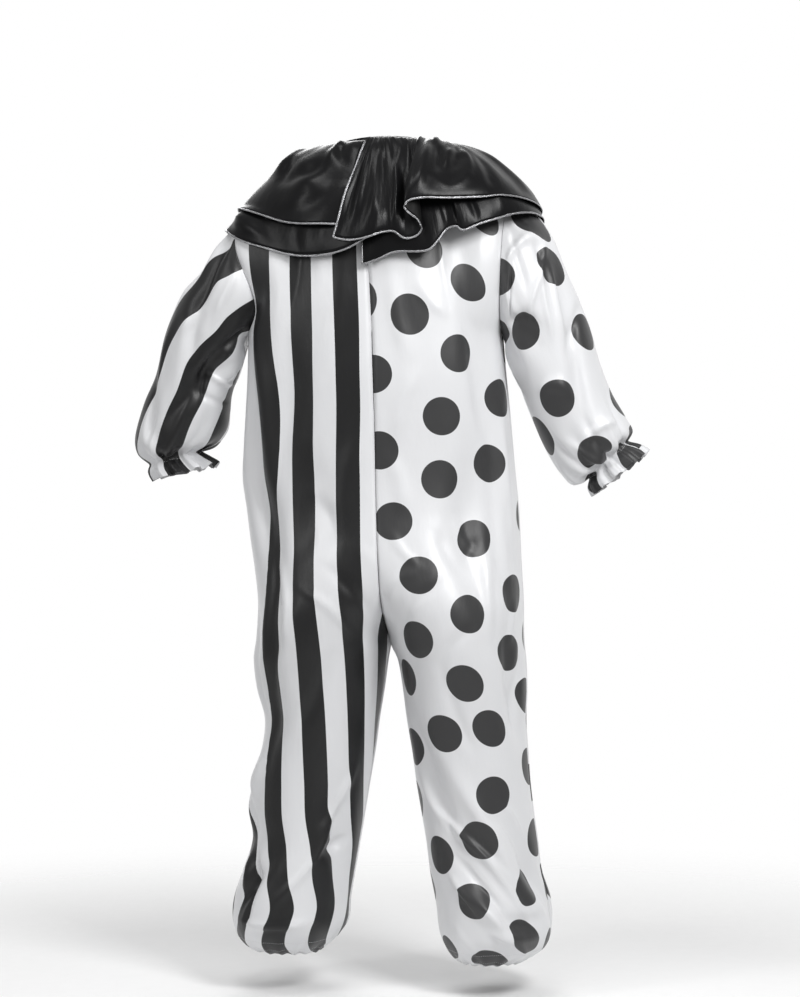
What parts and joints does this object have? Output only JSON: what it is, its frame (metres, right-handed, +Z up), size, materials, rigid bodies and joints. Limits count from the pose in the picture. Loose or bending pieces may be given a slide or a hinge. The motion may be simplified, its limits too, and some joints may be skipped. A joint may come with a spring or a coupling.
{
  "type": "clown costume",
  "caption": "One-piece clown suit, striped on one half and polka-dotted on the other, with a two-tier ruffled collar edged in silver braid, in its hollow worn shape.",
  "frame": {"origin": "middle of the wearer's neck at shoulder level, where the costume hangs on the shoulders", "axes": "+Z up, -Y the way the wearer faces, +X the wearer's left, which is the striped half"},
  "size_m": [1.0191, 0.4209, 1.5999],
  "materials": {
    "striped_satin": "satin, white with black stripes",
    "dotted_satin": "satin, white with black dots",
    "black_satin": "satin",
    "silver_braid": "metallic knitted braid"
  },
  "bodies": {
    "root": {"back_left": "striped_satin", "leg_back_left": "striped_satin", "front_left": "striped_satin", "leg_front_left": "striped_satin", "sleeve_left": "striped_satin", "back_right": "dotted_satin", "leg_back_right": "dotted_satin", "front_right": "dotted_satin", "leg_front_right": "dotted_satin", "sleeve_right": "dotted_satin", "collar_band": "black_satin", "collar_lower": "black_satin", "collar_upper": "black_satin", "braid_lower": "silver_braid", "braid_upper": "silver_braid"}
  },
  "joints": []
}
